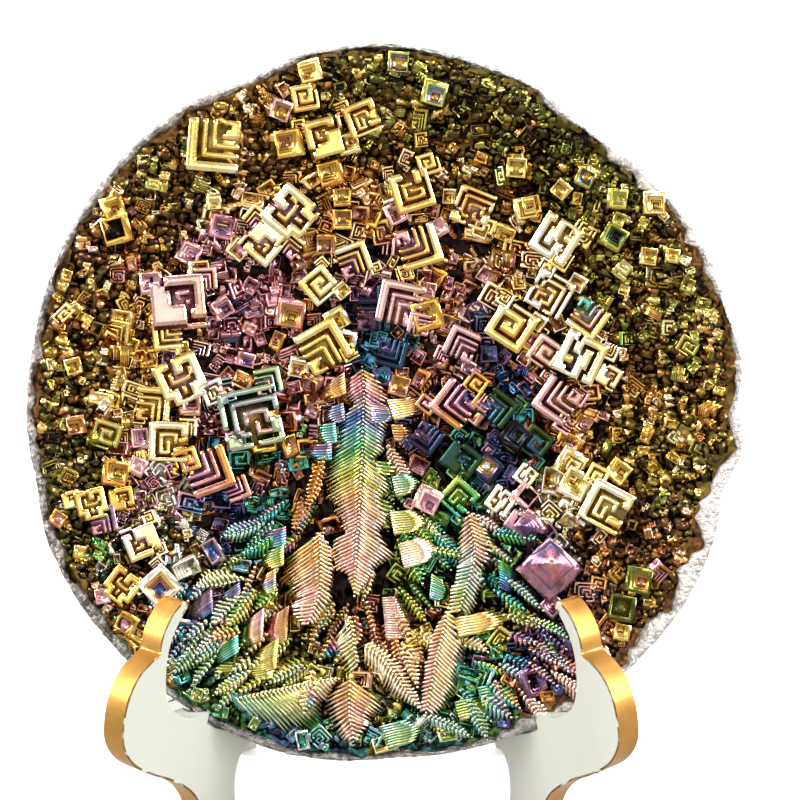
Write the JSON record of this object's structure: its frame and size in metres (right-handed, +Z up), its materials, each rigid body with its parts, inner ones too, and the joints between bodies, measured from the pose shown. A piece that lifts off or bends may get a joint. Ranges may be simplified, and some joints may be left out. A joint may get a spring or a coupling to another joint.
{
  "type": "bismuth hopper crystal geode on a display stand",
  "caption": "Round cast bowl of bismuth, filled with stepped iridescent hopper crystals and dendrites, leaning in a white display stand with gold edges.",
  "frame": {"origin": "on the surface that the stand stands on, under the middle of the whole object", "axes": "+Z up, the geode's crystals face -Y and lean back by twelve degrees, +X to the right as seen from the front"},
  "size_m": [0.1503, 0.1084, 0.1714],
  "materials": {
    "cast_bismuth": "rough silvery cast bismuth",
    "iridescent_bismuth": "oxide colours from gold over pink and purple to blue and green",
    "stand_white": "glossy white",
    "stand_gold": "satin gold on the edges"
  },
  "bodies": {
    "root": {"bismuth_shell": "cast_bismuth", "crystal_crust": "iridescent_bismuth", "stand_panel_left": "stand_white", "stand_panel_right": "stand_white"}
  },
  "joints": []
}
